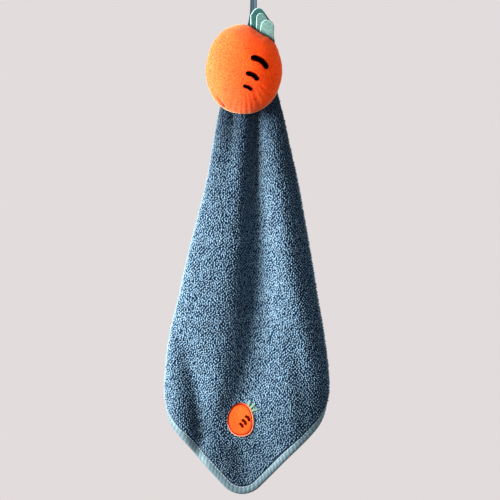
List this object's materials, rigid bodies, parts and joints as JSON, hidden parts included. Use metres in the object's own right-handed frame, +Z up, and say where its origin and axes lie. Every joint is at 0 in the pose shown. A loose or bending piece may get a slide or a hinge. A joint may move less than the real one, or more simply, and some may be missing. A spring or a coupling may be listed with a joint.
{
  "type": "hand towel",
  "caption": "Square fleece hand towel hung by one corner behind a stuffed round fruit head, with felt leaves, a bound edge, an applique badge and a strap loop to hang it by.",
  "frame": {"origin": "the hang point, at the top of the inside of the strap loop's eye", "axes": "+Z up along the hanging towel, +X to the right as seen from the front, the front faces -Y"},
  "size_m": [0.1659, 0.0594, 0.5385],
  "materials": {
    "blue_fleece": "coral fleece pile, dusty blue",
    "satin_binding": "ribbed satin band, grey teal",
    "orange_plush": "short plush, bright orange",
    "felt_dark": "felt, dark teal",
    "felt_mid": "felt, teal",
    "felt_light": "felt, pale teal",
    "strap": "flat woven strap, navy to grey blue",
    "badge_plush": "embroidered applique, orange"
  },
  "bodies": {
    "root": {"cloth": "blue_fleece", "edge_binding": "satin_binding", "plush_head": "orange_plush", "leaf_back": "felt_dark", "leaf_middle": "felt_mid", "leaf_front": "felt_light", "hang_loop": "strap", "badge": "badge_plush"}
  },
  "joints": []
}
